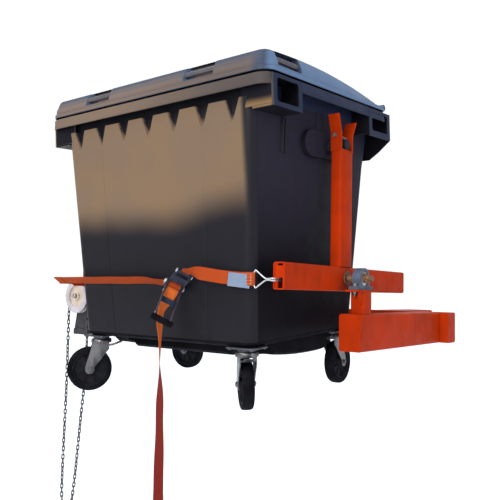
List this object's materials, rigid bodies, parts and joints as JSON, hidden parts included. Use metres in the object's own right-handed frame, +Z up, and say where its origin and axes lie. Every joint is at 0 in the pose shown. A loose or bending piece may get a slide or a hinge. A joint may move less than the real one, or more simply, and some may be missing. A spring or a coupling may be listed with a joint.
{
  "type": "forklift bin tipper with wheeled bin",
  "caption": "Forklift attachment that grips a large wheeled refuse bin by its trunnions and tips it with a hand chain and worm drive.",
  "frame": {"origin": "midway between the two fork sleeves at their rear mouths, on the plane of the forks' top faces", "axes": "+X to the right as seen from in front of the bin, +Y towards the truck, +Z up"},
  "size_m": [1.6059, 1.9353, 2.0154],
  "materials": {
    "bare_steel": "turned steel",
    "black_paint": "satin black paint",
    "cast_grey": "blue-grey enamelled casting",
    "chain_steel": "dull self-coloured steel",
    "charcoal_plastic": "fine moulded grain",
    "cream_casting": "cream enamelled casting",
    "galvanised_wire": "galvanised",
    "lid_plastic": "fine moulded grain, slight sheen",
    "orange_paint": "gloss orange powder coat, scuffed",
    "orange_webbing": "woven polyester webbing",
    "rusty_steel": "turned steel with surface rust",
    "tyre_rubber": "black solid rubber",
    "zinc_plate": "bright zinc plate, dulled"
  },
  "bodies": {
    "truck_attachment": {"cross_beam": "orange_paint", "side_box_right": "orange_paint", "side_box_left": "orange_paint", "fork_sleeve_right": "orange_paint", "fork_sleeve_left": "orange_paint", "pedestal_right": "orange_paint", "pillow_block_right": "cast_grey", "bearing_ring_right": "bare_steel", "block_bolt_front_right": "zinc_plate", "block_bolt_rear_right": "zinc_plate", "gearbox_case_left": "cast_grey", "gearbox_cover_left": "cast_grey", "drive_bracket_left": "black_paint", "drive_tongue_left": "black_paint", "hand_chain_over_wheel": "chain_steel", "hand_chain": "chain_steel"},
    "cradle_and_bin": {"arm_right": "orange_paint", "arm_left": "orange_paint", "post_right": "orange_paint", "post_left": "orange_paint", "saddle_right": "orange_paint", "saddle_left": "orange_paint", "cradle_cross_tube": "orange_paint", "strap_anchor_left": "orange_paint", "pivot_shaft_right": "rusty_steel", "worm_wheel_shaft_left": "bare_steel", "lock_pin_right": "bare_steel", "lock_pin_left": "bare_steel", "strap_hook_right": "galvanised_wire", "strap_right": "orange_webbing", "strap_left": "orange_webbing", "webbing_roll": "orange_webbing", "strap_tail": "orange_webbing", "ratchet_frame": "zinc_plate", "bin_body": "charcoal_plastic", "lid_hinge_rod": "zinc_plate", "trunnion_right": "charcoal_plastic", "trunnion_left": "charcoal_plastic", "castor_plate_front_left": "zinc_plate", "castor_plate_front_right": "zinc_plate", "castor_plate_rear_right": "zinc_plate", "castor_plate_rear_left": "zinc_plate"},
    "worm_and_wheel": {"worm_shaft_left": "bare_steel", "chain_wheel_left": "cream_casting"},
    "lid": {"bin_lid": "lid_plastic"},
    "clamp_right": {"clamp_screw_right": "zinc_plate"},
    "clamp_left": {"clamp_screw_left": "zinc_plate"},
    "handle": {"ratchet_handle": "black_paint"},
    "spindle": {"ratchet_spindle": "zinc_plate"},
    "swivel_front_left": {"castor_fork_front_left": "zinc_plate"},
    "wheel_front_left": {"castor_wheel_front_left": "tyre_rubber"},
    "pedal_front_left": {"brake_pedal_front_left": "zinc_plate"},
    "swivel_front_right": {"castor_fork_front_right": "zinc_plate"},
    "wheel_front_right": {"castor_wheel_front_right": "tyre_rubber"},
    "pedal_front_right": {"brake_pedal_front_right": "zinc_plate"},
    "swivel_rear_right": {"castor_fork_rear_right": "zinc_plate"},
    "wheel_rear_right": {"castor_wheel_rear_right": "tyre_rubber"},
    "swivel_rear_left": {"castor_fork_rear_left": "zinc_plate"},
    "wheel_rear_left": {"castor_wheel_rear_left": "tyre_rubber"}
  },
  "joints": [
    {"name": "tip", "type": "hinge", "parent": "truck_attachment", "child": "cradle_and_bin", "pos_m": [0, -1.2715, 0.152], "axis": [1, 0, 0], "range_deg": [0, 130], "deforming": ["strap_tail"]},
    {"name": "drive", "type": "hinge", "parent": "truck_attachment", "child": "worm_and_wheel", "pos_m": [-0.735, -1.2715, 0.052], "axis": [0, 1, 0], "range_deg": [0, 3900]},
    {"name": "lid_swing", "type": "hinge", "parent": "cradle_and_bin", "child": "lid", "pos_m": [0, -0.85824, 0.97984], "axis": [1, 0, 0], "range_deg": [-240, 0]},
    {"name": "clamp_right_turn", "type": "hinge", "parent": "truck_attachment", "child": "clamp_right", "pos_m": [0.42, -0.09, -0.062], "axis": [0, 0, 1], "range_deg": [0, 1440]},
    {"name": "clamp_left_turn", "type": "hinge", "parent": "truck_attachment", "child": "clamp_left", "pos_m": [-0.42, -0.09, -0.062], "axis": [0, 0, 1], "range_deg": [0, 1440]},
    {"name": "handle_swing", "type": "hinge", "parent": "cradle_and_bin", "child": "handle", "pos_m": [0.148, -1.7865, 0.109], "axis": [0.4953, 0.7488, -0.4405], "range_deg": [-60, 0]},
    {"name": "spindle_turn", "type": "hinge", "parent": "cradle_and_bin", "child": "spindle", "pos_m": [0.148, -1.7865, 0.109], "axis": [0.4953, 0.7488, -0.4405], "continuous": true},
    {"name": "swivel_front_left", "type": "hinge", "parent": "cradle_and_bin", "child": "swivel_front_left", "pos_m": [-0.427, -1.66847, -0.12036], "axis": [0, -0.0698, 0.9976], "continuous": true},
    {"name": "roll_front_left", "type": "hinge", "parent": "swivel_front_left", "child": "wheel_front_left", "pos_m": [-0.46086, -1.70096, -0.277], "axis": [-0.788, 0.6142, 0.0429], "continuous": true},
    {"name": "brake_front_left", "type": "hinge", "parent": "swivel_front_left", "child": "pedal_front_left", "pos_m": [-0.41346, -1.64755, -0.17102], "axis": [-0.788, 0.6142, 0.0429], "range_deg": [0, 18]},
    {"name": "swivel_front_right", "type": "hinge", "parent": "cradle_and_bin", "child": "swivel_front_right", "pos_m": [0.427, -1.66847, -0.12036], "axis": [0, -0.0698, 0.9976], "continuous": true},
    {"name": "roll_front_right", "type": "hinge", "parent": "swivel_front_right", "child": "wheel_front_right", "pos_m": [0.38744, -1.61961, -0.27131], "axis": [0.6947, 0.7176, 0.0502], "continuous": true},
    {"name": "brake_front_right", "type": "hinge", "parent": "swivel_front_right", "child": "pedal_front_right", "pos_m": [0.44283, -1.68009, -0.17329], "axis": [0.6947, 0.7176, 0.0502], "range_deg": [0, 18]},
    {"name": "swivel_rear_right", "type": "hinge", "parent": "cradle_and_bin", "child": "swivel_rear_right", "pos_m": [0.427, -1.03003, -0.07571], "axis": [0, -0.0698, 0.9976], "continuous": true},
    {"name": "roll_rear_right", "type": "hinge", "parent": "swivel_rear_right", "child": "wheel_rear_right", "pos_m": [0.42316, -0.96455, -0.22551], "axis": [0.9976, 0.0696, 0.0049], "continuous": true},
    {"name": "swivel_rear_left", "type": "hinge", "parent": "cradle_and_bin", "child": "swivel_rear_left", "pos_m": [-0.427, -1.03003, -0.07571], "axis": [0, -0.0698, 0.9976], "continuous": true},
    {"name": "roll_rear_left", "type": "hinge", "parent": "swivel_rear_left", "child": "wheel_rear_left", "pos_m": [-0.48197, -1.0212, -0.22947], "axis": [-0.0349, 0.997, 0.0697], "continuous": true}
  ],
  "couplings": [
    {"joint": "drive", "follows": "tip", "ratio": 30}
  ]
}
